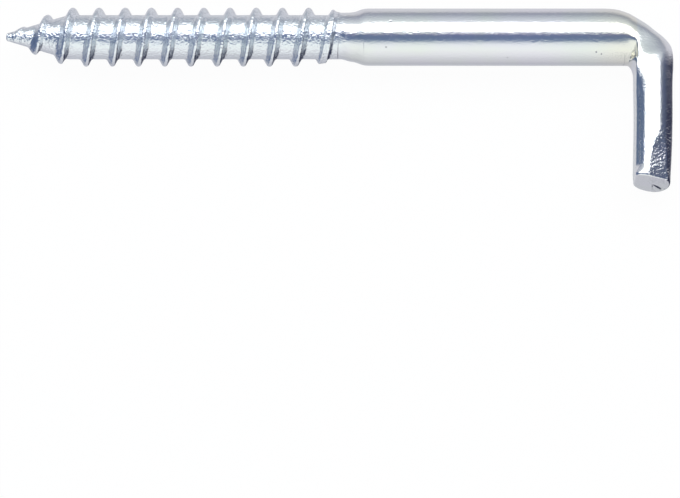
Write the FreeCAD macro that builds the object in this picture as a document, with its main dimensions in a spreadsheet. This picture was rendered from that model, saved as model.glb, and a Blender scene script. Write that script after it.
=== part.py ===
import FreeCAD, Part
import os
import Sketcher
from FreeCAD import Placement, Rotation, Vector
from math import copysign, pi, sqrt

# A gate hinge pin: one piece of wire with a screw point, bent cold to a right angle, in millimetres.
# The shank lies along X with its point at -X, and the flattened leg runs to -Y.
# The origin is where the axis of the shank meets the axis of the leg, and +Z is up as the pin lies.

NODE = "hinge_pin"

# The driving sizes. A station is a distance along the shank from the tip of the point.
SIZES = (
    ("overall_length", 70.0, "tip of the point to the outer side of the leg"),
    ("leg_reach", 16.0, "axis of the shank to the sheared end of the leg"),
    ("shank_diameter", 6.0, "plain round shank"),
    ("point_diameter", 0.75, "blunt tip of the point"),
    ("point_length", 6.5, "station where the tapered core reaches its full size"),
    ("core_diameter", 4.65, "core between the ridges"),
    ("thread_pitch", 2.75, "one turn of the single-start thread"),
    ("ridge_height", 0.8, "core to crest"),
    ("ridge_base", 1.4, "width of a ridge at the core"),
    ("crest_radius", 0.28, "rounded crest of a ridge"),
    ("flank_angle", 28.0, "slope of each flank, from square to the axis"),
    ("root_height", 0.16, "height of the flare at the root of a ridge"),
    ("ridge_bite", 0.3, "depth that a ridge runs under the skin of the core"),
    ("full_ridge", 7.13, "station of the first ridge at full size, on the +Y side"),
    ("lead_in_start", 0.7, "station where the ridge rises out of the point"),
    ("lead_in_end", 3.3, "station where the ridge reaches its height"),
    ("run_out_start", 32.2, "station where the last turn starts to sink"),
    ("run_out_knee", 34.4, "station from which it sinks faster"),
    ("knee_height", 0.53, "core to crest there"),
    ("run_out_end", 35.25, "station where the last turn is under the neck"),
    ("neck_diameter", 5.15, "plain neck beside the last turn"),
    ("neck_start", 34.95, "station where the neck starts"),
    ("neck_step", 0.35, "length of the slope from the core up to the neck"),
    ("neck_end", 36.0, "station where the neck starts to swell"),
    ("shank_start", 38.0, "station where the shank is at its full size"),
    ("corner_radius", 0.86, "inside of the bend"),
    ("corner_relief", 0.03, "how far the flat stays under the underside of the shank"),
    ("bend_lead", 2.2, "length of shank that thins before the inside corner"),
    ("bend_lead_thinning", 0.12, "wire lost half of the way along that"),
    ("bend_start_thinning", 0.47, "wire lost over the start of the inside corner"),
    ("bend_early_thinning", 1.17, "wire lost a quarter of the way round"),
    ("bend_middle_thinning", 1.34, "wire lost half of the way round"),
    ("bend_late_thinning", 1.51, "wire lost three quarters of the way round"),
    ("bend_last_thinning", 1.81, "wire lost seven eighths of the way round"),
    ("bend_end_thinning", 1.88, "wire lost where the leg starts"),
    ("leg_thickness", 4.12, "leg from its inner flat to its outer side"),
    ("leg_width", 6.5, "leg across its flattened section"),
    ("leg_full", 8.5, "axis of the shank to the middle of the leg"),
    ("leg_end_thickness", 3.95, "leg at its sheared end"),
    ("flat_width", 4.2, "flat along the inner side of the leg"),
    ("shear_angle", 5.0, "slant of the sheared end, shortest on the inner side"),
    ("end_edge", 0.25, "worn edge round the sheared end"),
)

TIP = "({leg_thickness} / 2 - {overall_length})"
CORE_RADIUS = "({core_diameter} / 2)"
NECK_RADIUS = "({neck_diameter} / 2)"
SHANK_RADIUS = "({shank_diameter} / 2)"
POINT_SLOPE = "(({core_diameter} - {point_diameter}) / 2 / {point_length})"
# the middle of the bend's circles, and the radius at which the wire's own axis goes round it
CORNER_X = "(-({leg_thickness} / 2 + {corner_radius}))"
CORNER_Y = "(-(" + SHANK_RADIUS + " + {corner_radius}))"
BEND_RADIUS = "({corner_radius} + " + SHANK_RADIUS + ")"
CREST_FACETS = 3


def write_sheet():
    table = doc.addObject("Spreadsheet::Sheet", "Sizes")
    for row, (name, size, meaning) in enumerate(SIZES, start=1):
        table.set("A%d" % row, name)
        table.set("B%d" % row, str(size))
        table.set("C%d" % row, meaning)
        table.setAlias("B%d" % row, name)
    doc.recompute()
    return table


def bound(formula):
    """A formula over the names of the sizes, as an expression over the sheet's cells."""
    return formula.replace("{", "Sizes.").replace("}", "")


def present(formula):
    """What a formula comes to with the sheet as it is."""
    return float(sheet.evalExpression(bound(formula)))


def add_sketch(name, plane):
    sketch = body.newObject("Sketcher::SketchObject", name)
    support = next(feature for feature in body.Origin.OriginFeatures if feature.Role == plane)
    sketch.AttachmentSupport = (support, [""])
    sketch.MapMode = "FlatFace"
    return sketch


def station_sketch(name):
    """A sketch in the plane of the bend, with its zero at the tip of the point."""
    sketch = add_sketch(name, "XY_Plane")
    sketch.setExpression("AttachmentOffset.Base.x", bound(TIP))
    return sketch


def hold(sketch, kind, formula, *geometry):
    """A sized constraint that follows the sheet."""
    number = sketch.addConstraint(Sketcher.Constraint(kind, *geometry, present(formula)))
    sketch.setExpression("Constraints[%d]" % number, bound(formula))


def hold_point(sketch, edge, end, across, up):
    """Hold a point of an edge at two formulas, measured from the sketch's zero."""
    for kind, formula, axis in (("DistanceX", across, -2), ("DistanceY", up, -1)):
        if formula == "0":
            sketch.addConstraint(Sketcher.Constraint("PointOnObject", edge, end, axis))
        else:
            hold(sketch, kind, formula, -1, 1, edge, end)


def arc_between(start, end, radius):
    """The short arc between two points. It swells to the left of the way where the radius is positive."""
    chord = end - start
    half = chord.Length / 2
    rise = abs(radius) - sqrt(radius * radius - half * half)
    left = Vector(-chord.y, chord.x, 0).normalize()
    return Part.Arc(start, (start + end) / 2 + left * copysign(rise, radius), end)


def draw_outline(sketch, corners, arcs=()):
    """A closed outline through corners that are pairs of formulas, with the radius of each arc in arcs."""
    radii = dict(arcs)
    points = [Vector(present(across), present(up), 0) for across, up in corners]
    count = len(points)
    first = []
    for edge in range(count):
        ends = points[edge], points[(edge + 1) % count]
        if edge in radii:
            sketch.addGeometry(arc_between(*ends, present(radii[edge])), False)
        else:
            sketch.addGeometry(Part.LineSegment(*ends), False)
        # an arc runs anticlockwise, so one that swells to the left starts at the far corner
        first.append(2 if edge in radii and present(radii[edge]) > 0 else 1)
    for edge, (across, up) in enumerate(corners):
        after = (edge + 1) % count
        sketch.addConstraint(Sketcher.Constraint("Coincident", edge, 3 - first[edge], after, first[after]))
        hold_point(sketch, edge, first[edge], across, up)
    for edge, radius in radii.items():
        hold(sketch, "Radius", "abs(%s)" % radius, edge)


def add_feature(kind, name, sketch):
    feature = body.newObject("PartDesign::" + kind, name)
    feature.Profile = sketch
    return feature


def turn(kind, name, sketch):
    """A full turn of a sketch about the axis of the shank."""
    feature = add_feature(kind, name, sketch)
    feature.ReferenceAxis = (sketch, ["H_Axis"])
    feature.Angle = 360


def cut_through(name, sketch):
    """A pocket right through the leg, the same to both sides of the plane of the bend."""
    feature = add_feature("Pocket", name, sketch)
    feature.Midplane = True
    feature.setExpression("Length", bound("2 * {leg_width}"))


def add_core():
    """The point and the core that carry the thread."""
    sketch = station_sketch("core_outline")
    draw_outline(sketch, (
        ("0", "0"),
        ("0", "{point_diameter} / 2"),
        ("{point_length}", CORE_RADIUS),
        ("{neck_end}", CORE_RADIUS),
        ("{neck_end}", "0"),
    ))
    turn("Revolution", "core", sketch)


def draw_ridge():
    """The section of the ridge: a rounded crest, two flanks, and a flare where it meets the core."""
    crest_middle = CORE_RADIUS + " + {ridge_height} - {crest_radius}"
    crest_turn = "(90deg - {flank_angle} * 1deg)"
    crest_side = "{crest_radius} * cos({flank_angle} * 1deg)"
    flank_drop = "({ridge_height} - {crest_radius} * (1 - sin({flank_angle} * 1deg)) - {root_height})"
    root_half = "(" + crest_side + " + " + flank_drop + " * tan({flank_angle} * 1deg))"
    root_slope = "(({ridge_base} / 2 - " + root_half + ") / {root_height})"
    buried_half = "({ridge_base} / 2 + {ridge_bite} * " + root_slope + ")"
    corners = [
        ("{full_ridge} - " + buried_half, CORE_RADIUS + " - {ridge_bite}"),
        ("{full_ridge} + " + buried_half, CORE_RADIUS + " - {ridge_bite}"),
        ("{full_ridge} + " + root_half, CORE_RADIUS + " + {root_height}"),
    ]
    for corner in range(CREST_FACETS + 1):
        way = "(" + crest_turn + " * %r)" % (1 - 2 * corner / CREST_FACETS)
        corners.append((
            "{full_ridge} + {crest_radius} * sin" + way,
            crest_middle + " + {crest_radius} * cos" + way,
        ))
    corners.append(("{full_ridge} - " + root_half, CORE_RADIUS + " + {root_height}"))
    sketch = station_sketch("ridge_section")
    draw_outline(sketch, corners)
    return sketch


def wind(name, sketch, height):
    """The ridge wound along the axis as a left-hand thread."""
    feature = add_feature("AdditiveHelix", name, sketch)
    feature.ReferenceAxis = (sketch, ["H_Axis"])
    feature.Mode = "pitch-height-angle"
    feature.LeftHanded = True
    feature.setExpression("Pitch", bound("{thread_pitch}"))
    feature.setExpression("Height", bound(height))
    return feature


def add_thread():
    """One section wound up the core to the neck, and wound back down the taper to the tip."""
    sketch = draw_ridge()
    wind("thread", sketch, "{run_out_end} - {full_ridge}")
    down = wind("point_thread", sketch, "{full_ridge} - {lead_in_start} - {ridge_base} / 2")
    down.Reversed = True
    down.setExpression("Angle", bound("-atan(" + POINT_SLOPE + ")"))


def trim_thread():
    """The ridge rises out of the point and sinks under the neck."""
    outside = "{shank_diameter}"
    point_radius = "{point_diameter} / 2 + {lead_in_start} * " + POINT_SLOPE
    crest_radius = CORE_RADIUS + " + {ridge_height}"
    lead_in = station_sketch("lead_in_outline")
    draw_outline(lead_in, (
        ("-{lead_in_start}", point_radius),
        ("{lead_in_start}", point_radius),
        ("{lead_in_end}", crest_radius + " - ({full_ridge} - {lead_in_end}) * " + POINT_SLOPE),
        ("{lead_in_end}", outside),
        ("-{lead_in_start}", outside),
    ))
    turn("Groove", "lead_in", lead_in)
    buried = "(" + NECK_RADIUS + " + " + CORE_RADIUS + ") / 2"
    run_out = station_sketch("run_out_outline")
    draw_outline(run_out, (
        ("{run_out_start}", crest_radius),
        ("{run_out_knee}", CORE_RADIUS + " + {knee_height}"),
        ("{run_out_end}", buried),
        ("{shank_start}", buried),
        ("{shank_start}", outside),
        ("{run_out_start}", outside),
    ))
    turn("Groove", "run_out", run_out)


def add_shank():
    """The neck, its swell in two equal arcs, and the plain shank up to the bend."""
    swell = "({shank_start} - {neck_end})"
    step = "(" + SHANK_RADIUS + " - " + NECK_RADIUS + ")"
    sweep = "((" + swell + "^2 + " + step + "^2) / (4 * " + step + "))"
    end = "({overall_length} - {leg_thickness} - {corner_radius} - {bend_lead})"
    root = "{neck_start} - {neck_step}"
    sketch = station_sketch("shank_outline")
    draw_outline(sketch, (
        (root, "0"),
        (end, "0"),
        (end, SHANK_RADIUS),
        ("{shank_start}", SHANK_RADIUS),
        ("({neck_end} + {shank_start}) / 2", "(" + NECK_RADIUS + " + " + SHANK_RADIUS + ") / 2"),
        ("{neck_end}", NECK_RADIUS),
        ("{neck_start}", NECK_RADIUS),
        (root, CORE_RADIUS + " - {ridge_bite} / 2"),
    ), arcs={3: sweep, 4: "-" + sweep})
    turn("Revolution", "shank", sketch)


def bend_sketch(name, angle, along, across):
    """A sketch square to the wire, with its zero inside the bend and its upright pointing outwards."""
    sketch = add_sketch(name, "YZ_Plane")
    turned = Rotation(Vector(0, 1, 0), -angle) * Rotation(Vector(0, 0, 1), -90)
    sketch.AttachmentOffset = Placement(Vector(present(across), 0, present(along)), turned)
    sketch.setExpression("AttachmentOffset.Base.x", bound(across))
    sketch.setExpression("AttachmentOffset.Base.z", bound(along))
    return sketch


def draw_oval(sketch, thickness, width, flat):
    """An oval whose inner side swells so far past its zero that cutting it off there leaves the flat."""
    swell = "sqrt(1 - (" + flat + " / " + width + ")^2)"
    depth = "(2 * " + thickness + " / (1 + " + swell + "))"
    middle = "{corner_radius} + " + thickness + " - " + depth + " / 2"
    centre = Vector(0, present(middle), 0)
    side = centre + Vector(present(width) / 2, 0, 0)
    top = centre + Vector(0, present(depth) / 2, 0)
    oval = sketch.addGeometry(Part.Ellipse(side, top, centre), False)
    sketch.exposeInternalGeometry(oval)
    long_axis = oval + 1
    short_axis = oval + 2
    hold_point(sketch, oval, 3, "0", middle)
    sketch.addConstraint(Sketcher.Constraint("Horizontal", long_axis))
    hold(sketch, "Distance", width, long_axis)
    hold(sketch, "Distance", depth, short_axis)


def bend_section(name, angle, thickness, along=CORNER_X, across=CORNER_Y):
    """The wire's section at an angle round the bend, wider and flatter inside as it turns."""
    sketch = bend_sketch(name, angle, along, across)
    way = min(angle / 90, 1)
    width = "({shank_diameter} + ({leg_width} - {shank_diameter}) * %r)" % way
    draw_oval(sketch, thickness, width, "({flat_width} * %r)" % way)
    return sketch


def thinned(size):
    return "({shank_diameter} - {%s})" % size


def add_bend_lead():
    """The end of the shank, thinning before the corner. Gives the section where the bend starts."""
    full = bend_sketch("bend_lead_section", 0, CORNER_X + " - {bend_lead}", CORNER_Y)
    middle = Vector(0, present(BEND_RADIUS), 0)
    full.addGeometry(Part.Circle(middle, Vector(0, 0, 1), present(SHANK_RADIUS)), False)
    hold_point(full, 0, 3, "0", BEND_RADIUS)
    hold(full, "Radius", SHANK_RADIUS, 0)
    half_way = CORNER_X + " - {bend_lead} / 2"
    easing = bend_section("bend_easing_section", 0, thinned("bend_lead_thinning"), along=half_way)
    start = bend_section("bend_start_section", 0, thinned("bend_start_thinning"))
    lead = add_feature("AdditiveLoft", "bend_lead", full)
    lead.Sections = [easing, start]
    return start


def add_bend(start):
    """The wire drawn round the corner, thinner and wider as it goes. Gives the section where it ends."""
    route = add_sketch("bend_route", "XY_Plane")
    centre = Vector(present(CORNER_X), present(CORNER_Y), 0)
    circle = Part.Circle(centre, Vector(0, 0, 1), present(BEND_RADIUS))
    route.addGeometry(Part.ArcOfCircle(circle, 0, pi / 2), False)
    hold_point(route, 0, 3, CORNER_X, CORNER_Y)
    hold(route, "Radius", BEND_RADIUS, 0)
    route.addConstraint(Sketcher.Constraint("Horizontal", 0, 3, 0, 1))
    route.addConstraint(Sketcher.Constraint("Vertical", 0, 3, 0, 2))
    end = bend_section("bend_end_section", 90, thinned("bend_end_thinning"))
    bend = add_feature("AdditivePipe", "bend", end)
    bend.Spine = (route, ["Edge1"])
    bend.Transformation = "Multisection"
    bend.Sections = [
        bend_section("bend_last_section", 78.75, thinned("bend_last_thinning")),
        bend_section("bend_late_section", 67.5, thinned("bend_late_thinning")),
        bend_section("bend_middle_section", 45, thinned("bend_middle_thinning")),
        bend_section("bend_early_section", 22.5, thinned("bend_early_thinning")),
        start,
    ]
    return end


def add_leg(start):
    """The flattened leg, sheared off a little aslant, with a worn edge round its end."""
    slant = 90 + present("{shear_angle}")
    reach = "({leg_reach} + " + CORNER_X + " * tan({shear_angle} * 1deg))"
    middle = bend_section("leg_section", 90, "{leg_thickness}", across="-{leg_full}")
    above_end = "-(" + reach + " - {end_edge})"
    rim = bend_section("leg_rim_section", slant, "{leg_end_thickness}", across=above_end)
    leg = add_feature("AdditiveLoft", "leg", start)
    leg.Sections = [middle, rim]
    leg.Ruled = True
    face = bend_sketch("end_face_section", slant, CORNER_X, "-" + reach)
    thickness = "({leg_end_thickness} - {end_edge})"
    width = "({leg_width} - 2 * {end_edge})"
    draw_oval(face, thickness, width, "({flat_width} - {end_edge})")
    end = add_feature("AdditiveLoft", "sheared_end", rim)
    end.Sections = [face]


def cut_flat():
    """The flat that the bending tool left inside the corner and along the leg."""
    flat_x = "-{leg_thickness} / 2"
    centre_y = "(" + CORNER_Y + " - {corner_relief})"
    below = "-({leg_reach} + {leg_thickness})"
    sketch = add_sketch("flat_outline", "XY_Plane")
    draw_outline(sketch, (
        (flat_x + " - {corner_radius}", centre_y + " + {corner_radius}"),
        (flat_x, centre_y),
        (flat_x, below),
        (flat_x + " - {leg_thickness}", below),
        (flat_x + " - {leg_thickness}", centre_y + " + {corner_radius}"),
    ), arcs={0: "{corner_radius}"})
    cut_through("inner_flat", sketch)


def check_model():
    for item in doc.Objects:
        if "Invalid" in item.State or "Error" in item.State:
            raise RuntimeError("%s failed: %s" % (item.Name, item.State))
    if body.Shape.isNull() or not body.Shape.isValid() or len(body.Shape.Solids) != 1:
        raise RuntimeError("%s isn't one valid solid" % NODE)


doc = FreeCAD.newDocument("GateHingePin")
sheet = write_sheet()
body = doc.addObject("PartDesign::Body", NODE)
body.Label = NODE
add_core()
add_thread()
trim_thread()
add_shank()
add_leg(add_bend(add_bend_lead()))
cut_flat()
doc.recompute()
check_model()
os.makedirs("parts", exist_ok=True)
body.Shape.exportStep("parts/" + NODE + ".step")
print(NODE, round(body.Shape.Volume, 2), "mm3 in", len(body.Shape.Faces), "faces")
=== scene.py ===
import bmesh
import bpy
from math import asin, atan, atan2, copysign, cos, degrees, exp, hypot, pi, radians, sin, sqrt, tan
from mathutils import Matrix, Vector, noise


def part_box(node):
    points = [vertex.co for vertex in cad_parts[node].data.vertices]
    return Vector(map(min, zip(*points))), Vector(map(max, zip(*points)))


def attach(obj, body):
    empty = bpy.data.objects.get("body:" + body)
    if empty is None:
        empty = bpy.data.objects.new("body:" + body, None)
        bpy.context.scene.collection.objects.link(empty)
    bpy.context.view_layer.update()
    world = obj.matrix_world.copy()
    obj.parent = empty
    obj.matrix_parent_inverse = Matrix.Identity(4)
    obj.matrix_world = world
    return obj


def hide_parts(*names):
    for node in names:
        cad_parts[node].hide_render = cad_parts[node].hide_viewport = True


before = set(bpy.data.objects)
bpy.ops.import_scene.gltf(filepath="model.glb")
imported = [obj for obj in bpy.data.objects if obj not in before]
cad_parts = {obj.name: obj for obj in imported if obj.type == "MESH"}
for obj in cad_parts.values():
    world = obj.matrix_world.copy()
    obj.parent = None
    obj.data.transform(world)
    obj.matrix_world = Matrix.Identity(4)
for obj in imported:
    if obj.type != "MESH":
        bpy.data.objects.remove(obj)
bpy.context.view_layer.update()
mm = 0.001
tiny = 0.001 * mm                 # what lies closer than this is in the same place

# The pin lies flat. Its shank runs along X with the screw point at -X, and its leg runs to -Y.
# A station is a distance along the wire from the tip of the point, round the bend too.
pin = {
    "shankRadius": 3.0 * mm,
    "coreRadius": 2.325 * mm,
    "tipRadius": 0.375 * mm,
    "pointLength": 6.5 * mm,      # station where the taper reaches the full core
    "pitch": 2.75 * mm,
    "firstRidge": 7.13 * mm,      # station of a crest on the +Y side
    "ridgeHeight": 0.77 * mm,
    "crestRadius": 0.28 * mm,
    "flankAngle": radians(28),
    "rootFillet": 0.35 * mm,
    "neckRadius": 2.575 * mm,
    "neckStart": 34.6 * mm,
    "neckFull": 35.0 * mm,
    "neckLate": 1.3 * mm,         # how much later the neck is full on the front
    "neckStartLate": 1 / 3,       # and the share of that by which its start is later there
    "neckEnd": 36.0 * mm,
    "shankStart": 38.0 * mm,
    "stepsAround": 120,
    "crestSteps": 8,
    "filletSteps": 5,
    "rootSteps": 3,
    "turns": 17,
    "turnsBeforeFirst": 4,
    "turnsWeld": 0.008 * mm,      # how close the vertices lie where two turns are joined
    "threadCut": 35.5 * mm,       # station where the wound thread is cut off
}
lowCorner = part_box("hinge_pin")[0]
tipX = lowCorner.x


def eased(start, end, value):
    way = min(max((value - start) / (end - start), 0), 1)
    return way * way * (3 - 2 * way)


def along(knots, value):  # a smooth line through a few pairs of place and size
    if value <= knots[0][0]:
        return knots[0][1]
    for index in range(1, len(knots)):
        start, end = knots[index - 1], knots[index]
        if value <= end[0]:
            before = knots[max(index - 2, 0)]
            after = knots[min(index + 1, len(knots) - 1)]
            span = end[0] - start[0]
            slopeIn = (end[1] - before[1]) / (end[0] - before[0]) * span
            slopeOut = (after[1] - start[1]) / (after[0] - start[0]) * span
            t = (value - start[0]) / span
            rise = 3 * t ** 2 - 2 * t ** 3
            lean = slopeIn * (t ** 3 - 2 * t ** 2 + t) + slopeOut * (t ** 3 - t ** 2)
            return start[1] * (1 - rise) + end[1] * rise + lean
    return knots[-1][1]


def ridgeProfile():  # pairs of offset along the axis and height over the core, from mid-root to mid-root
    lean, crest, fillet = pin["flankAngle"], pin["crestRadius"], pin["rootFillet"]
    crestMiddle = pin["ridgeHeight"] - crest
    half = []
    for step in range(pin["crestSteps"] + 1):
        turn = (pi / 2 - lean) * step / pin["crestSteps"]
        half.append((crest * sin(turn), crestMiddle + crest * cos(turn)))
    crestSide, crestFoot = half[-1]
    filletTop = fillet * (1 - sin(lean))
    filletSide = crestSide + (crestFoot - filletTop) * tan(lean)
    half.append(((crestSide + filletSide) / 2, (crestFoot + filletTop) / 2))
    filletMiddle = filletSide + fillet * cos(lean)
    for step in range(pin["filletSteps"] + 1):
        turn = (pi / 2 - lean) * (1 - step / pin["filletSteps"])
        half.append((filletMiddle - fillet * sin(turn), fillet * (1 - cos(turn))))
    for step in range(1, pin["rootSteps"] + 1):
        half.append((filletMiddle + (pin["pitch"] / 2 - filletMiddle) * step / pin["rootSteps"], 0))
    return [(-offset, height) for offset, height in reversed(half)] + half[1:]


def parts(bm):
    return bm.verts[:] + bm.edges[:] + bm.faces[:]


def cutOff(bm, station, **side):  # clear_inner leaves what is past the station, clear_outer what is before it
    place, square = (tipX + station, 0, 0), (1, 0, 0)
    bmesh.ops.bisect_plane(bm, geom=parts(bm), dist=tiny, plane_co=place, plane_no=square, **side)


def windThread(bm):  # one pitch of the outline, wound left-handed from before the tip to past the neck
    crestX = tipX + pin["firstRidge"] - pin["turnsBeforeFirst"] * pin["pitch"]
    line = [bm.verts.new((crestX + offset, pin["coreRadius"] + rise, 0)) for offset, rise in ridgeProfile()]
    edges = [bm.edges.new(pair) for pair in zip(line, line[1:])]
    bmesh.ops.spin(
        bm, geom=line + edges, cent=(0, 0, 0), axis=(-1, 0, 0), angle=2 * pi, steps=pin["stepsAround"],
        dvec=(pin["pitch"] / pin["stepsAround"], 0, 0),
        use_merge=False, use_normal_flip=False, use_duplicate=False,
    )
    turn = parts(bm)
    for number in range(1, pin["turns"]):
        copy = bmesh.ops.duplicate(bm, geom=turn)["geom"]
        verts = [g for g in copy if isinstance(g, bmesh.types.BMVert)]
        bmesh.ops.translate(bm, verts=verts, vec=(number * pin["pitch"], 0, 0))
    bmesh.ops.remove_doubles(bm, verts=bm.verts, dist=pin["turnsWeld"])
    cutOff(bm, point["bluntStation"], clear_inner=True)
    cutOff(bm, pin["threadCut"], clear_outer=True)


ring = {
    "depth": 0.01 * mm,           # how far from the end its edges may lie
    "offStep": 0.02,              # the share of a step by which a vertex may miss it
}


def ringAt(bm, x):  # the open ring of edges at an end
    return [e for e in bm.edges if e.is_boundary and all(abs(v.co.x - x) < ring["depth"] for v in e.verts)]


def evenRing(bm, x):  # leaves only the vertices of the ring that lie on the steps of the thread
    step = 2 * pi / pin["stepsAround"]
    extra = []
    for vert in {v for e in ringAt(bm, x) for v in e.verts}:
        turn = atan2(vert.co.z, vert.co.y) / step
        if abs(turn - round(turn)) > ring["offStep"]:
            extra.append(vert)
    bmesh.ops.dissolve_verts(bm, verts=extra)


# pairs of a station and the share of the ridge that stands there, at the point
pointRidge = (
    (0.6 * mm, 0), (1.65 * mm, 0.26), (3.0 * mm, 0.76), (4.4 * mm, 0.9), (5.7 * mm, 0.96), (7.0 * mm, 1.0),
)
# pairs of a station and the height over the core at which the last turn was rolled off flat
lastRidge = (
    (31.9 * mm, 0.8 * mm), (32.9 * mm, 0.5 * mm), (33.5 * mm, 0.42 * mm), (34.35 * mm, 0.57 * mm),
    (34.65 * mm, 0.36 * mm), (35.05 * mm, 0),
)


def wireRadius(place):  # the round wire with no ridge on it
    station = place.x - tipX
    taper = (pin["coreRadius"] - pin["tipRadius"]) / pin["pointLength"]
    core = min(pin["tipRadius"] + taper * max(station, 0), pin["coreRadius"])
    neck = pin["neckRadius"] - pin["coreRadius"]
    front = 0.5 - 0.5 * place.y / hypot(place.y, place.z)
    late = front * pin["neckLate"]
    neck *= eased(pin["neckStart"] + late * pin["neckStartLate"], pin["neckFull"] + late, station)
    swell = pin["shankRadius"] - pin["neckRadius"]
    way = min(max((station - pin["neckEnd"]) / (pin["shankStart"] - pin["neckEnd"]), 0), 1)
    swell *= 2 * way * way if way < 0.5 else 1 - 2 * (1 - way) ** 2
    return core + neck + swell


rolling = {
    "crestWear": 0.01 * mm,
    "crestWearPerMetre": 320,
    "crestWearFull": 0.5 * mm,    # how high over the core
    "rootWave": 0.016 * mm,       # the rollers leave the roots a little uneven
    "rootWavePerMetre": 900,
    "mostRadius": 3.1 * mm,
}


def shapeThread(bm):  # the taper of the point, the ridge's lead-in and its run-out
    for vert in bm.verts:
        station = vert.co.x - tipX
        radius = hypot(vert.co.y, vert.co.z)
        rise = radius - pin["coreRadius"]
        ridge = min(rise * along(pointRidge, station), along(lastRidge, station))
        wear = rolling["crestWear"] * noise.noise(vert.co * rolling["crestWearPerMetre"])
        wear *= eased(0, rolling["crestWearFull"], rise)
        wave = rolling["rootWave"] * abs(noise.noise(vert.co * rolling["rootWavePerMetre"]))
        size = min(wireRadius(vert.co) + ridge + wear - wave, rolling["mostRadius"])
        vert.co.y *= size / radius
        vert.co.z *= size / radius


def extrudeRing(bm, last):  # a new open ring, where the last one is
    made = bmesh.ops.extrude_edge_only(bm, edges=last)["geom"]
    verts = [g for g in made if isinstance(g, bmesh.types.BMVert)]
    fresh = set(verts)
    edges = [g for g in made if isinstance(g, bmesh.types.BMEdge) and fresh.issuperset(g.verts)]
    return edges, verts


point = {
    "bluntStation": 0.2 * mm,     # where the cone stops and its rounded end starts
    # how far back each ring of the rounded end lies, and how much smaller it is
    "rounding": ((0.09 * mm, 0.97), (0.06 * mm, 0.8), (0.03 * mm, 0.78), (0.01 * mm, 0.6)),
}


def closeTip(bm):  # the blunt end of the point
    last = ringAt(bm, tipX + point["bluntStation"])
    for back, share in point["rounding"]:
        last, verts = extrudeRing(bm, last)
        for vert in verts:
            vert.co = (vert.co.x - back, vert.co.y * share, vert.co.z * share)
    bmesh.ops.contextual_create(bm, geom=last)


leg = {
    "cornerRadius": 0.86 * mm,    # inside of the bend
    "thickness": 4.12 * mm,
    "width": 6.49 * mm,
    "flatWidth": 4.2 * mm,
    "reach": 15.98 * mm,          # from the axis of the shank to the sheared end
    "shearAngle": radians(5),
    "shearLength": 2.5 * mm,
    "squashLength": 1.5 * mm,     # the shear squared the corner over the last stretch
    "squash": 0.48,
    "outerSquash": 1 / 3,         # the share of that on the outer side
    "edge": 0.3 * mm,
    "edgeWidth": 0.6,             # as a share of its length
    "edgeSteps": 4,
    # how much smaller each ring of the end face is than the one round it
    "faceShares": (0.97, 0.93, 0.9, 0.9, 0.88, 0.86, 0.84, 0.8, 0.75, 0.7, 0.6, 0.5),
    "burr": 0.3 * mm,             # torn metal at the low corner of the end
    "burrsPerMetre": 1100,
    "burrAcross": (-0.4 * mm, 0.2 * mm),
    "burrDown": (-0.6 * mm, -1.3 * mm),
}
cornerX = -leg["thickness"] / 2 - leg["cornerRadius"]
cornerY = -pin["shankRadius"] - leg["cornerRadius"]
axisRadius = leg["cornerRadius"] + pin["shankRadius"]
bendStart = cornerX - tipX
bendEnd = bendStart + axisRadius * pi / 2
wireEnd = bendEnd + leg["reach"] + cornerY

# Each of these holds pairs of an angle round the bend, in degrees, and a measure of the wire there.
# Past 90 degrees they run on down the leg.
bendThickness = (  # in millimetres
    (-32, 6.0), (-16, 5.9), (0, 5.58), (7, 5.26), (14, 4.98), (25, 4.71), (36, 4.54), (48, 4.58),
    (60, 4.6), (66, 4.49), (73, 4.31), (81, 4.15), (90, 4.05), (105, 3.99), (125, 3.96), (170, 3.93),
    (215, 3.9), (250, 3.82), (270, 3.75),
)
# how far the leg leans from square, in millimetres along X
bendLean = ((90, 0), (123, -0.01), (169, -0.04), (259, -0.24), (270, -0.26))
# where the wire is highest, as a share of its thickness from the inner side, over and under the pin's plane
highAbove = (
    (-20, 0.5), (0, 0.5), (22, 0.4), (42, 0.27), (55, 0.24), (70, 0.28), (85, 0.34), (105, 0.41),
    (130, 0.43), (190, 0.43), (215, 0.41), (240, 0.39), (255, 0.36), (270, 0.29),
)
highBelow = (
    (-20, 0.5), (0, 0.5), (22, 0.4), (42, 0.27), (55, 0.24), (70, 0.29), (81, 0.35), (95, 0.41),
    (130, 0.43), (200, 0.43), (240, 0.5), (270, 0.6),
)
# the outer side slopes down like a roof where the metal was drawn out
roof = ((18, 0), (33, 0.19), (44, 0.23), (58, 0.16), (70, 0.06), (86, 0))
# the inner side bulges on top where the metal was crowded together
bulge = ((14, 0), (32, 0.5), (50, 0.6), (75, 0.62), (92, 0.6), (108, 0.42), (122, 0.18), (138, 0))

pressed = {
    # where the face starts: pairs of a place along Y and one along X, both in millimetres
    "starts": (
        (-16.2, -1.4), (-14.95, -1.1), (-13.3, -0.82), (-12.2, -0.5), (-10.6, 0.08), (-8.4, 0.62),
        (-6.5, 1.3),
    ),
    "slope": 0.57,
    "easing": 0.15 * mm,
    "fullAfter": 0.3 * mm,
}

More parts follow.
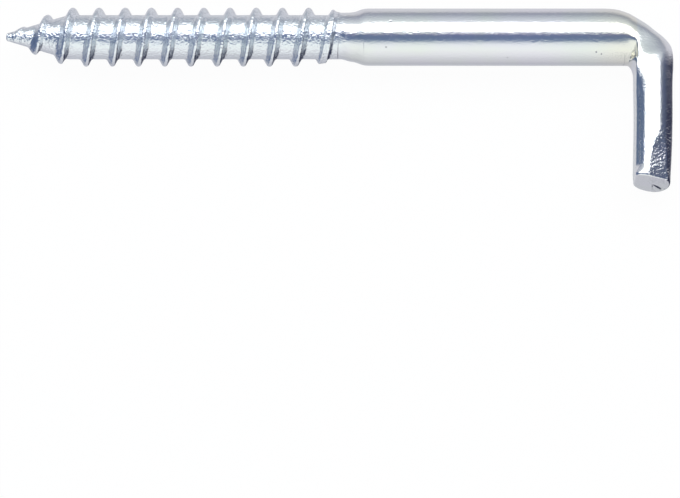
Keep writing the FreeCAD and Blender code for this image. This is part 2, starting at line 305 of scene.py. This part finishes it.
# A pair says where a form begins, or ends, and where that is complete.
crease = {
    "x": -1.95 * mm,              # the shank runs straight on to here, into the side of the leg
    "halfWidth": 0.07 * mm,
    "depth": 0.14 * mm,
    "lowEnd": (-3.3 * mm, -2.9 * mm),
    "highEnd": (-1.6 * mm, -1.2 * mm),
    "shankStarts": (-6.0 * mm, -3.5 * mm),
    "shankEnds": (-0.09 * mm, 0.03 * mm),     # counted from the crease
    "under": (-3.02 * mm, -2.75 * mm),
    "over": (-1.2 * mm, 0.6 * mm),
    "overDips": (0.6 * mm, 1.2 * mm),     # how much lower that lies beside the crease
    "overStarts": (-4.8 * mm, -2.3 * mm),
    # beyond the crease the metal rises from the shank to the top of the leg
    "saddle": 0.24 * mm,
    "saddleStarts": (-2.7 * mm, -1.0 * mm),
    "saddleRise": (-2.75 * mm, -0.6 * mm),
    "saddleFades": (-0.6 * mm, 2.4 * mm),
}


def crush(place):  # carries the round shank on to the crease, and presses the crease in
    into = 1 - eased(*crease["shankEnds"], place.x - crease["x"])
    share = into * eased(*crease["shankStarts"], place.x) * eased(*crease["under"], place.y)
    near = eased(*crease["overStarts"], place.x)
    over = [edge - dip * near for edge, dip in zip(crease["over"], crease["overDips"])]
    share *= 1 - eased(*over, place.y)
    shank = sqrt(max(pin["shankRadius"] ** 2 - place.y ** 2, 0))
    side = abs(place.z)
    place.z = copysign(side + (shank - side) * share, place.z)
    dip = crease["saddle"] * eased(*crease["saddleStarts"], place.x) * eased(*crease["saddleRise"], place.y)
    dip *= (1 - eased(*crease["saddleFades"], place.y)) * (1 - share)
    place.z *= 1 - dip * min(side / pin["shankRadius"], 1) / pin["shankRadius"]
    away = (place.x - crease["x"]) / crease["halfWidth"]
    ends = eased(*crease["lowEnd"], place.y) * (1 - eased(*crease["highEnd"], place.y))
    press = crease["depth"] * exp(-away * away) * ends / pin["shankRadius"]
    place.y *= 1 - press
    place.z *= 1 - press


def pressDown(place):  # the slanted face that the shear left on the upper side of the leg
    start = along(pressed["starts"], place.y / mm) * mm
    past = max(place.x - start, 0)
    most = leg["width"] / 2 - pressed["slope"] * past * past / (past + pressed["easing"])
    if place.z > 0:
        place.z -= max(place.z - most, 0) * eased(0, pressed["fullAfter"], past)


def bendWire(bm):  # the straight wire laid round the corner and down the leg
    for vert in bm.verts:
        station = vert.co.x - tipX
        angle = (station - bendStart) / axisRadius
        degree = degrees(angle)
        if degree < bendThickness[0][0]:
            continue
        turn = atan2(vert.co.z, vert.co.y)
        thickness = along(bendThickness, degree) * mm
        way = eased(0, pi / 2, angle)
        width = 2 * pin["shankRadius"] + (leg["width"] - 2 * pin["shankRadius"]) * way
        flat = asin(leg["flatWidth"] / leg["width"]) * way
        squash = leg["squash"] * eased(wireEnd - leg["squashLength"], wireEnd, station)
        top = turn > 0
        peak = along(highAbove if top else highBelow, degree) * thickness
        acrossShare, sideShare = abs(cos(turn)), abs(sin(turn))
        if cos(turn) < 0:
            if top:
                power = 1 - max(along(bulge, degree), squash)
                acrossShare, sideShare = acrossShare ** power, sideShare ** power
            else:
                flat *= 1 - squash
            across = max(peak - peak / cos(flat) * acrossShare, 0)
        else:
            if top:
                power = 1 - squash * leg["outerSquash"]
                acrossShare, sideShare = acrossShare ** power, sideShare ** power
            across = peak + (thickness - peak) * acrossShare
            sideShare *= 1 - max(along(roof, degree), 0) * acrossShare * (1 - acrossShare)
        side = copysign(width / 2 * sideShare, turn)
        reach = leg["cornerRadius"] + across
        if angle < 0:
            place = Vector((vert.co.x, cornerY + reach, side))
        elif angle < pi / 2:
            place = Vector((cornerX + reach * sin(angle), cornerY + reach * cos(angle), side))
        else:
            drop = station - bendEnd
            shear = (cornerX + reach) * tan(leg["shearAngle"])
            shear *= eased(wireEnd - leg["shearLength"], wireEnd, station)
            place = Vector((cornerX + reach + along(bendLean, degree) * mm, cornerY - drop - shear, side))
        if angle < pi / 2:
            crush(place)
        else:
            pressDown(place)
        vert.co = place


drawing = {
    "shankStep": 0.3 * mm,
    "fineBefore": 2.6 * mm,       # the steps are fine from this far before the bend
    "fineAfter": 1.5 * mm,        # to this far past it
    "fineStep": 0.08 * mm,
    "legStep": 0.2 * mm,
}


def drawWire(bm):  # the plain wire, drawn straight on from the thread and cut into short lengths
    last = ringAt(bm, tipX + pin["threadCut"])
    start = pin["threadCut"]
    lengths = (
        (bendStart - drawing["fineBefore"], drawing["shankStep"]),
        (bendEnd + drawing["fineAfter"], drawing["fineStep"]),
        (wireEnd - leg["edge"], drawing["legStep"]),
    )
    for end, step in lengths:
        before = set(bm.edges)
        last, verts = extrudeRing(bm, last)
        for vert in verts:
            vert.co.x = tipX + end
        fresh = set(last)
        sides = [e for e in bm.edges if e not in before and e not in fresh]
        bmesh.ops.subdivide_edges(bm, edges=sides, cuts=round((end - start) / step) - 1, use_grid_fill=True)
        start = end
    for vert in bm.verts:
        if vert.co.x > tipX + pin["threadCut"] + tiny:
            size = wireRadius(vert.co) / hypot(vert.co.y, vert.co.z)
            vert.co.y *= size
            vert.co.z *= size


def closeLeg(bm):  # the worn edge of the sheared end, and its face
    last = [e for e in bm.edges if e.is_boundary and e.verts[0].co.y < -leg["reach"] / 2]
    middleX = (bendLean[-1][1] - (leg["thickness"] / mm - bendThickness[-1][1]) / 2) * mm
    halfX, halfZ = leg["thickness"] / 2, leg["width"] / 2
    gone, down = 0, 0
    for step in range(1, leg["edgeSteps"] + 1):
        turn = pi / 2 * step / leg["edgeSteps"]
        inset = leg["edge"] * leg["edgeWidth"] * (1 - cos(turn))
        advance = leg["edge"] * sin(turn)
        last, verts = extrudeRing(bm, last)
        for vert in verts:
            vert.co.x = middleX + (vert.co.x - middleX) * (halfX - inset) / (halfX - gone)
            vert.co.z *= (halfZ - inset) / (halfZ - gone)
            vert.co.y -= advance - down
        gone, down = inset, advance
    for share in leg["faceShares"]:
        last, verts = extrudeRing(bm, last)
        for vert in verts:
            vert.co.y += (vert.co.x - middleX) * (1 - share) * tan(leg["shearAngle"])
            vert.co.x = middleX + (vert.co.x - middleX) * share
            vert.co.z *= share
            torn = eased(*leg["burrAcross"], vert.co.x) * eased(*leg["burrDown"], vert.co.z)
            bump = noise.noise(vert.co * leg["burrsPerMetre"])
            vert.co.y += leg["burr"] * max(bump, 0) * torn
    bmesh.ops.contextual_create(bm, geom=last)


def makePin(material):
    bm = bmesh.new()
    windThread(bm)
    evenRing(bm, tipX + pin["threadCut"])
    shapeThread(bm)
    closeTip(bm)
    print("thread rolled")
    drawWire(bm)
    bendWire(bm)
    closeLeg(bm)
    print("wire bent and sheared")
    bmesh.ops.recalc_face_normals(bm, faces=bm.faces)
    for face in bm.faces:
        face.smooth = True
    mesh = bpy.data.meshes.new("wirePin")
    bm.to_mesh(mesh)
    bm.free()
    piece = bpy.data.objects.new("wirePin", mesh)
    bpy.context.scene.collection.objects.link(piece)
    mesh.materials.append(material)
    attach(piece, "root")
    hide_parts("hinge_pin")
    print("wire pin:", len(mesh.polygons), "faces")


def feed(tree, socket, value):
    if isinstance(value, bpy.types.NodeSocket):
        tree.links.new(value, socket)
    else:
        socket.default_value = value


def add(tree, kind, **settings):
    node = tree.nodes.new("ShaderNode" + kind)
    for name, value in settings.items():
        setattr(node, name, value)
    return node


def calc(tree, operation, *values):
    node = add(tree, "Math", operation=operation)
    for socket, value in zip(node.inputs, values):
        feed(tree, socket, value)
    return node.outputs[0]


def fade(tree, value, start, end):  # a smooth rise from 0 at the start to 1 at the end
    node = add(tree, "MapRange", interpolation_type="SMOOTHSTEP")
    feed(tree, node.inputs["Value"], value)
    node.inputs["From Min"].default_value = min(start, end)
    node.inputs["From Max"].default_value = max(start, end)
    node.inputs["To Min"].default_value = 0 if start < end else 1
    node.inputs["To Max"].default_value = 1 if start < end else 0
    return node.outputs[0]


def blend(tree, share, first, second):
    node = add(tree, "Mix", data_type="RGBA")
    feed(tree, node.inputs["Factor"], share)
    feed(tree, node.inputs["A"], first)
    feed(tree, node.inputs["B"], second)
    return node.outputs["Result"]


def grains(tree, place, perMetre, detail):
    node = add(tree, "TexNoise")
    tree.links.new(place, node.inputs["Vector"])
    node.inputs["Scale"].default_value = perMetre
    node.inputs["Detail"].default_value = detail
    return node.outputs["Fac"]


zinc = {
    "green": (0.80, 0.83, 0.815, 1),
    "lilac": (0.815, 0.815, 0.86, 1),
    "tintsPerMetre": 180,
    "tintsFade": (0.35, 0.65),
    "straw": (0.84, 0.835, 0.77, 1),     # beside the bend
    "strawFrom": (-8.0 * mm, -3.0 * mm),
    "strawTo": (-1.7 * mm, -2.0 * mm),
    "strawUp": (-3.4 * mm, -2.9 * mm),
    "bluish": (0.82, 0.865, 0.91, 1),    # on the thread
    "bluishShare": 0.8,
    "blemish": (0.30, 0.30, 0.34, 1),
    "roughness": 0.12,
    "threadRoughness": 0.02,             # more than on the shank
    "threadEnds": (-31.5 * mm, -34.0 * mm),
    "grainsPerMetre": 7500,
    "grainMm": 0.018,
    "threadGrainMm": 0.03,
    "lumpsPerMetre": 3900,
    "lumpMm": 0.013,
    "threadLumpMm": 0.085,
    "crackleMm": 0.045,                  # on top of the leg near its end, and in the wrinkle
    "crackleDown": (-9.8 * mm, -12.0 * mm),
    "crackleAcross": (-1.4 * mm, -0.5 * mm),
    "crackleUp": (0, 1.5 * mm),
    # the middle and the radius of a wrinkled spot at the foot of the crease
    "wrinkle": ((-2.45 * mm, -2.45 * mm, 1.7 * mm), 0.75 * mm),
    "pitMm": 0.05,
    # each pit's place along X, its angle up from the front, and its radius
    "pits": (
        (-27.6 * mm, 107, 0.17 * mm), (-28.1 * mm, 53, 0.1 * mm), (-6.15 * mm, 42, 0.12 * mm),
        (-5.6 * mm, 37, 0.1 * mm), (-2.35 * mm, 32, 0.14 * mm), (-15.4 * mm, 28, 0.07 * mm),
    ),
    # each line round the wire: its place along X, how far round it comes, and its depth
    "lines": ((-33.1 * mm, -0.6 * mm, 0.03), (-30.45 * mm, -1.0 * mm, 0.015), (-3.1 * mm, -2.2 * mm, 0.02)),
    "lineHalfWidth": 0.07 * mm,
    "lineFade": 0.4 * mm,
}


def pitMask(tree, place):
    total = 0.0
    for x, angle, radius in zinc["pits"]:
        middle = (x, -pin["shankRadius"] * cos(radians(angle)), pin["shankRadius"] * sin(radians(angle)))
        away = add(tree, "VectorMath", operation="DISTANCE")
        tree.links.new(place, away.inputs[0])
        away.inputs[1].default_value = middle
        total = calc(tree, "ADD", fade(tree, away.outputs["Value"], radius, 0), total)
    return total


def lineHeight(tree, x, y):
    total = 0.0
    for lineX, comesTo, depth in zinc["lines"]:
        away = calc(tree, "ABSOLUTE", calc(tree, "SUBTRACT", x, lineX))
        line = calc(tree, "MULTIPLY", fade(tree, away, zinc["lineHalfWidth"], 0), depth)
        near = fade(tree, y, comesTo, comesTo - zinc["lineFade"])
        total = calc(tree, "MULTIPLY_ADD", line, near, total)
    return total


def zincPlate():
    material = bpy.data.materials.new("zincPlate")
    material.use_nodes = True
    tree = material.node_tree
    shader = tree.nodes["Principled BSDF"]
    shader.inputs["Metallic"].default_value = 1
    place = add(tree, "TexCoord").outputs["Object"]
    split = add(tree, "SeparateXYZ")
    tree.links.new(place, split.inputs[0])
    x, y, z = split.outputs
    onThread = fade(tree, x, *zinc["threadEnds"])
    crackled = fade(tree, y, *zinc["crackleDown"])
    crackled = calc(tree, "MULTIPLY", crackled, fade(tree, x, *zinc["crackleAcross"]))
    crackled = calc(tree, "MULTIPLY", crackled, fade(tree, z, *zinc["crackleUp"]))
    spot, size = zinc["wrinkle"]
    away = add(tree, "VectorMath", operation="DISTANCE")
    tree.links.new(place, away.inputs[0])
    away.inputs[1].default_value = spot
    wrinkled = fade(tree, away.outputs["Value"], size, 0)
    pits = pitMask(tree, place)

    tints = fade(tree, grains(tree, place, zinc["tintsPerMetre"], 2), *zinc["tintsFade"])
    colour = blend(tree, tints, zinc["green"], zinc["lilac"])
    besideBend = calc(tree, "MULTIPLY", fade(tree, x, *zinc["strawFrom"]), fade(tree, x, *zinc["strawTo"]))
    besideBend = calc(tree, "MULTIPLY", besideBend, fade(tree, y, *zinc["strawUp"]))
    colour = blend(tree, besideBend, colour, zinc["straw"])
    colour = blend(tree, calc(tree, "MULTIPLY", onThread, zinc["bluishShare"]), colour, zinc["bluish"])
    colour = blend(tree, pits, colour, zinc["blemish"])
    tree.links.new(colour, shader.inputs["Base Color"])
    rough = calc(tree, "MULTIPLY_ADD", onThread, zinc["threadRoughness"], zinc["roughness"])
    tree.links.new(rough, shader.inputs["Roughness"])

    # heights in millimetres
    grain = calc(tree, "MULTIPLY_ADD", onThread, zinc["threadGrainMm"] - zinc["grainMm"], zinc["grainMm"])
    height = calc(tree, "MULTIPLY", grains(tree, place, zinc["grainsPerMetre"], 1), grain)
    lump = calc(tree, "MULTIPLY_ADD", onThread, zinc["threadLumpMm"] - zinc["lumpMm"], zinc["lumpMm"])
    lump = calc(tree, "MULTIPLY_ADD", crackled, zinc["crackleMm"], lump)
    lump = calc(tree, "MULTIPLY_ADD", wrinkled, zinc["crackleMm"], lump)
    height = calc(tree, "MULTIPLY_ADD", grains(tree, place, zinc["lumpsPerMetre"], 1), lump, height)
    height = calc(tree, "SUBTRACT", height, lineHeight(tree, x, y))
    height = calc(tree, "SUBTRACT", height, calc(tree, "MULTIPLY", pits, zinc["pitMm"]))
    bump = add(tree, "Bump")
    bump.inputs["Strength"].default_value = 1
    bump.inputs["Distance"].default_value = mm
    tree.links.new(height, bump.inputs["Height"])
    tree.links.new(bump.outputs["Normal"], shader.inputs["Normal"])
    return material


studio = {
    "floorSize": 3.0,
    "floorWhite": 0.97,
    "shadowShare": 0.035,
    "lamp": {"angle": 113.5, "distance": 0.6, "middleX": -0.045, "size": (1.62, 0.385), "watts": 3.1},
    # what the metal sees round the X axis: 0 is level to the front, 90 straight up, 180 level to the back
    "round": (
        (-180, (0.36, 0.385, 0.45)),
        (-175, (0.34, 0.36, 0.42)),
        (-168, (0.50, 0.51, 0.55)),
        (-160, (0.72, 0.71, 0.75)),
        (-140, (0.72, 0.72, 0.76)),
        (-90, (0.64, 0.65, 0.70)),
        (-60, (0.55, 0.55, 0.60)),
        (-43, (0.67, 0.67, 0.70)),
        (-18, (0.77, 0.78, 0.80)),
        (-7, (0.88, 0.89, 0.90)),
        (8, (0.95, 0.96, 0.96)),
        (21, (1.01, 1.05, 1.0)),
        (34, (1.0, 1.03, 1.02)),
        (46, (0.91, 0.95, 0.96)),
        (53, (0.72, 0.78, 0.83)),
        (58, (0.17, 0.24, 0.37)),
        (74, (0.15, 0.20, 0.35)),
        (89, (0.20, 0.20, 0.33)),
        (93, (0.85, 0.88, 0.88)),
        (128, (0.95, 0.97, 0.98)),
        (135, (0.93, 0.96, 0.97)),
        (140, (0.82, 0.86, 0.88)),
        (146, (0.71, 0.75, 0.78)),
        (155, (0.62, 0.67, 0.71)),
        (166, (0.52, 0.55, 0.60)),
        (172, (0.44, 0.47, 0.54)),
        (180, (0.36, 0.385, 0.45)),
    ),
    # what it sees past both its ends
    # A pair says where a zone starts and where it is full, as the share of a direction along one axis.
    "left": (0.13, 0.175, 0.29, 1),
    "leftStarts": (0.6, 0.85),
    "right": (0.11, 0.135, 0.21, 1),
    "rightLow": (0.045, 0.05, 0.085, 1),
    "rightStarts": (0.74, 0.96),
    # overhead both ends reach further in, and the right one does below the pin too
    "overheadWidens": 0.25,
    "overheadBack": (0.27, 0.14),
    "overheadFront": (-0.3, -0.1),
    "rightLowWidens": 0.5,
    "belowLevel": (0.1, -0.4),
    "lowBack": (0.34, 0.295),
    # towards the back the ends are pale again
    "sideBack": (0.64, 0.37),
}


def makeFloor():
    material = bpy.data.materials.new("paleFloor")
    material.use_nodes = True
    tree = material.node_tree
    tree.nodes.remove(tree.nodes["Principled BSDF"])
    paper = add(tree, "BsdfDiffuse")
    paper.inputs["Color"].default_value = (studio["floorWhite"],) * 3 + (1,)
    glow = add(tree, "Emission")
    seen = add(tree, "LightPath").outputs["Is Camera Ray"]
    mix = add(tree, "MixShader")
    feed(tree, mix.inputs["Fac"], calc(tree, "MULTIPLY", seen, 1 - studio["shadowShare"]))
    tree.links.new(paper.outputs[0], mix.inputs[1])
    tree.links.new(glow.outputs[0], mix.inputs[2])
    tree.links.new(mix.outputs[0], tree.nodes["Material Output"].inputs["Surface"])
    bm = bmesh.new()
    bmesh.ops.create_grid(bm, x_segments=1, y_segments=1, size=studio["floorSize"] / 2)
    bmesh.ops.translate(bm, verts=bm.verts, vec=(0, 0, lowCorner.z))
    mesh = bpy.data.meshes.new("floor")
    bm.to_mesh(mesh)
    bm.free()
    floor = bpy.data.objects.new("floor", mesh)
    bpy.context.scene.collection.objects.link(floor)
    mesh.materials.append(material)
    floor.visible_glossy = False


def makeLamp():
    lamp = studio["lamp"]
    light = bpy.data.lights.new("backLamp", "AREA")
    light.shape = "RECTANGLE"
    light.size, light.size_y = lamp["size"]
    light.energy = lamp["watts"]
    thing = bpy.data.objects.new("backLamp", light)
    bpy.context.scene.collection.objects.link(thing)
    turn = radians(lamp["angle"])
    way = Vector((0, -cos(turn), sin(turn)))
    thing.location = Vector((lamp["middleX"], 0, 0)) + way * lamp["distance"]
    thing.rotation_euler = (-way).to_track_quat("-Z", "Y").to_euler()


def makeSurroundings():
    world = bpy.data.worlds.new("studio")
    bpy.context.scene.world = world
    world.use_nodes = True
    tree = world.node_tree
    split = add(tree, "SeparateXYZ")
    tree.links.new(add(tree, "TexCoord").outputs["Generated"], split.inputs[0])
    x, y, z = split.outputs
    angle = calc(tree, "ARCTAN2", z, calc(tree, "MULTIPLY", y, -1.0))
    ramp = add(tree, "ValToRGB")
    stops = ramp.color_ramp.elements
    for index, (degree, colour) in enumerate(studio["round"]):
        share = (degree + 180) / 360
        stop = stops[index] if index < 2 else stops.new(share)
        stop.position = share
        stop.color = (*colour, 1)
    feed(tree, ramp.inputs["Fac"], calc(tree, "MULTIPLY_ADD", angle, 1 / (2 * pi), 0.5))
    notBack = fade(tree, y, *studio["sideBack"])
    overhead = calc(tree, "MULTIPLY", fade(tree, y, *studio["overheadBack"]), studio["overheadWidens"])
    overhead = calc(tree, "MULTIPLY", overhead, fade(tree, y, *studio["overheadFront"]))
    left = fade(tree, calc(tree, "SUBTRACT", overhead, x), *studio["leftStarts"])
    colour = blend(tree, calc(tree, "MULTIPLY", left, notBack), ramp.outputs["Color"], studio["left"])
    below = fade(tree, z, *studio["belowLevel"])
    low = calc(tree, "MULTIPLY", below, fade(tree, y, *studio["lowBack"]))
    reach = calc(tree, "ADD", calc(tree, "MULTIPLY_ADD", low, studio["rightLowWidens"], x), overhead)
    right = fade(tree, reach, *studio["rightStarts"])
    rightColour = blend(tree, below, studio["right"], studio["rightLow"])
    colour = blend(tree, calc(tree, "MULTIPLY", right, notBack), colour, rightColour)
    back = tree.nodes["Background"]
    tree.links.new(colour, back.inputs["Color"])
    white = add(tree, "Background")
    white.inputs["Color"].default_value = (1, 1, 1, 1)
    choose = add(tree, "MixShader")
    tree.links.new(add(tree, "LightPath").outputs["Is Camera Ray"], choose.inputs["Fac"])
    tree.links.new(back.outputs[0], choose.inputs[1])
    tree.links.new(white.outputs[0], choose.inputs[2])
    tree.links.new(choose.outputs[0], tree.nodes["World Output"].inputs["Surface"])


view = {
    "imageWidth": 680,
    "imageHeight": 498,
    "pixelsPerMetre": 9524,
    "depth": 0.42,
    "nearest": 0.01,
    "elevation": radians(73),
    "axisRow": 37.2,              # the shank's axis in the photo
    "leftColumn": 6.3,            # the tip of the point
}


def makeCamera():
    camera = bpy.data.objects.new("camera", bpy.data.cameras.new("camera"))
    bpy.context.scene.collection.objects.link(camera)
    focal = view["pixelsPerMetre"] * view["depth"]
    camera.data.lens = focal / view["imageWidth"] * camera.data.sensor_width
    camera.data.clip_start = view["nearest"]
    aimAngle = atan((view["imageHeight"] / 2 - view["axisRow"]) / focal)
    middle = Vector((tipX + (view["imageWidth"] / 2 - view["leftColumn"]) / view["pixelsPerMetre"], 0, 0))
    back = Vector((0, -cos(view["elevation"]), sin(view["elevation"])))
    camera.location = middle + back * view["depth"] / cos(aimAngle)
    camera.rotation_euler = (pi / 2 - view["elevation"] - aimAngle, 0, 0)
    bpy.context.scene.camera = camera


makePin(zincPlate())
makeFloor()
makeLamp()
makeSurroundings()
makeCamera()
bpy.context.scene.view_settings.view_transform = "Standard"
print("studio done")
